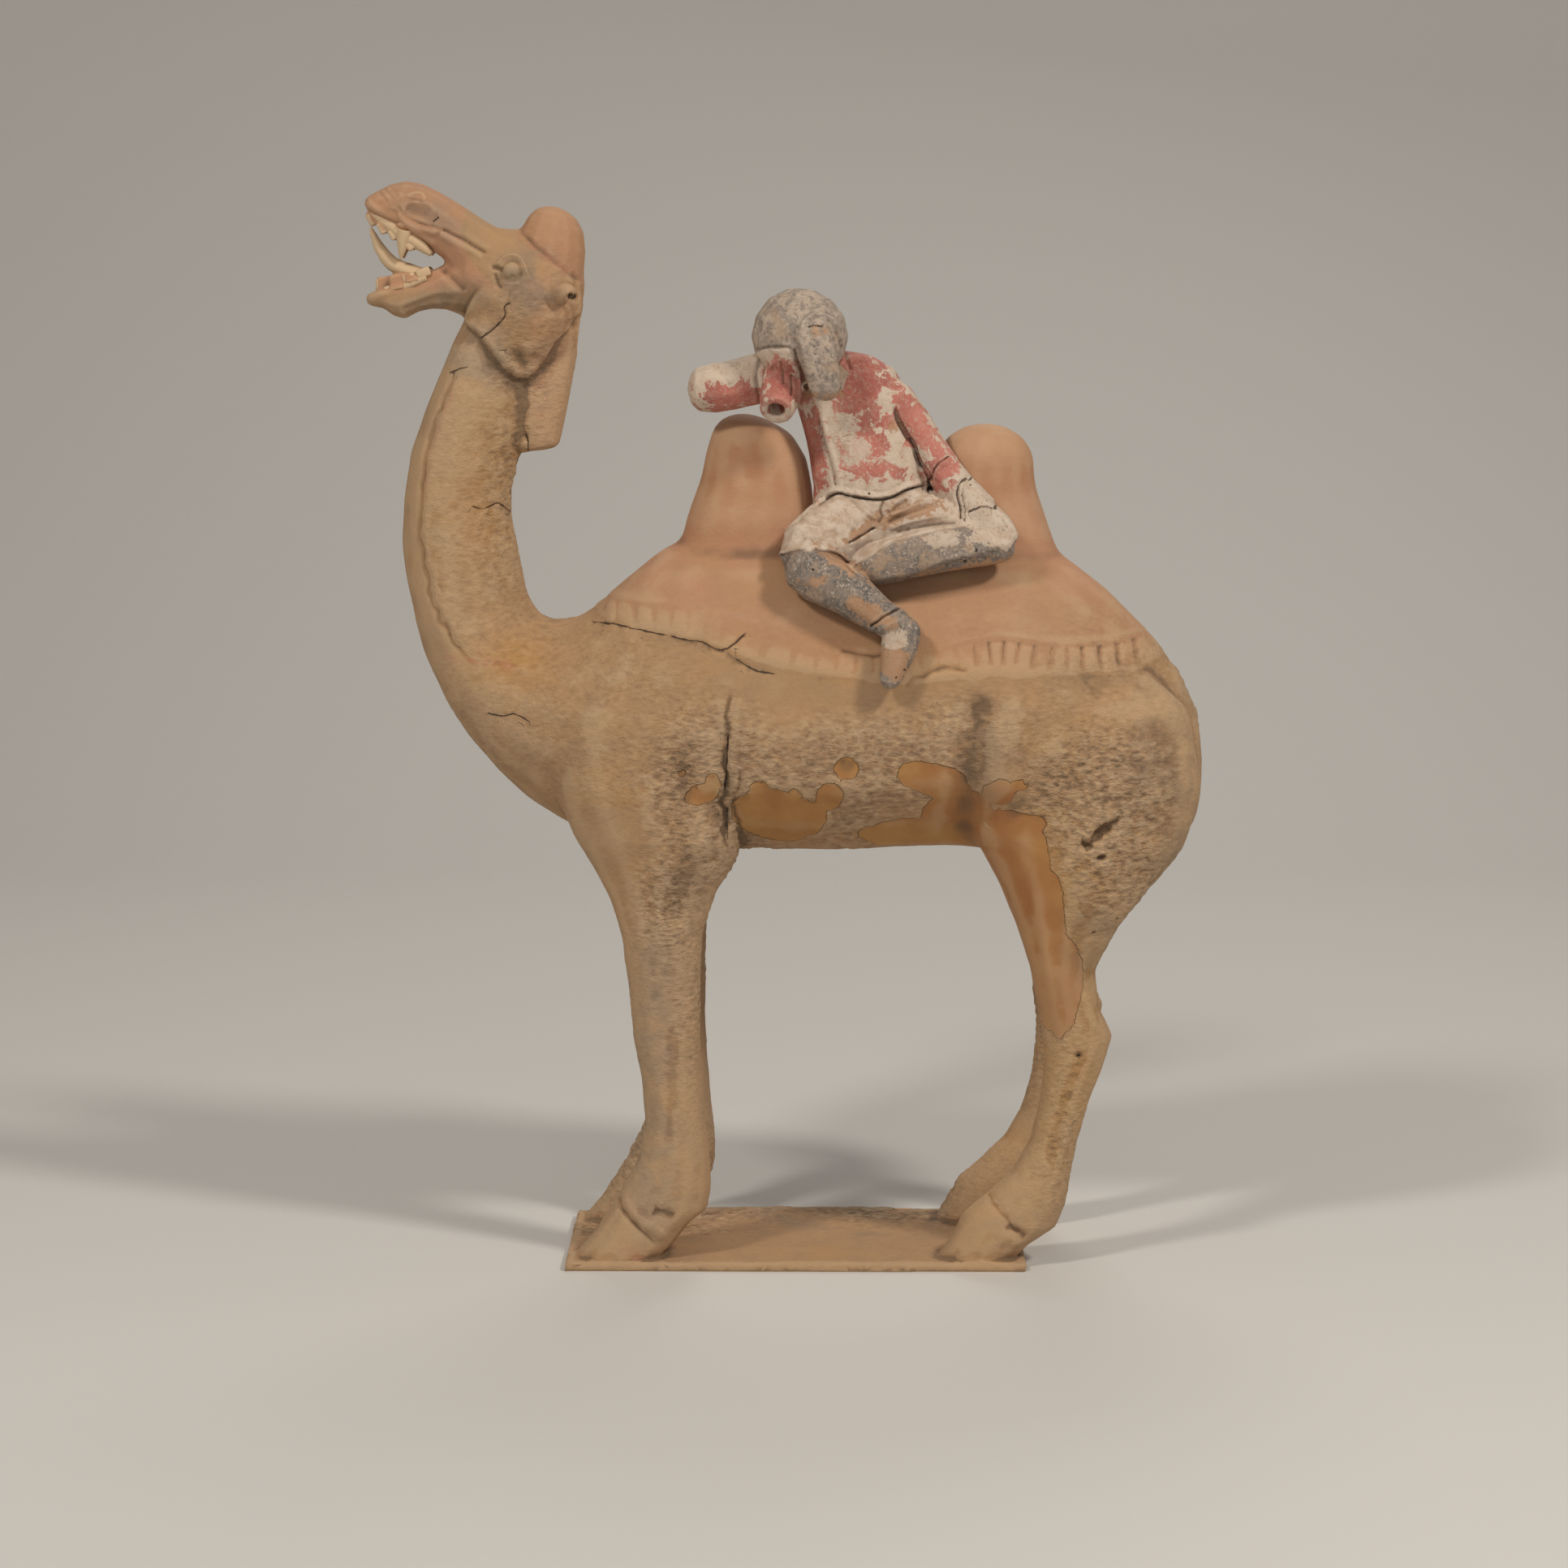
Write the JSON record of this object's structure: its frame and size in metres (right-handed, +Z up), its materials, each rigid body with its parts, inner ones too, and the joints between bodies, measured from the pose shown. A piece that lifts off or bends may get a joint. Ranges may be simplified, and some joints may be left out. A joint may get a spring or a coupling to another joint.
{
  "type": "pottery camel and rider figure",
  "caption": "Standing pottery camel with open mouth, humps and a fringed saddle cloth on a thin base slab, with a separate sleeping rider resting on its back.",
  "frame": {"origin": "middle of the base slab's underside", "axes": "+Z up, -X towards the camel's head, -Y towards the side on which the rider's legs hang"},
  "size_m": [0.6095, 0.2079, 0.7841],
  "materials": {
    "camel_clay": "matte",
    "rider_clay": "matte"
  },
  "bodies": {
    "root": {"camel": "camel_clay", "rider": "rider_clay"}
  },
  "joints": []
}
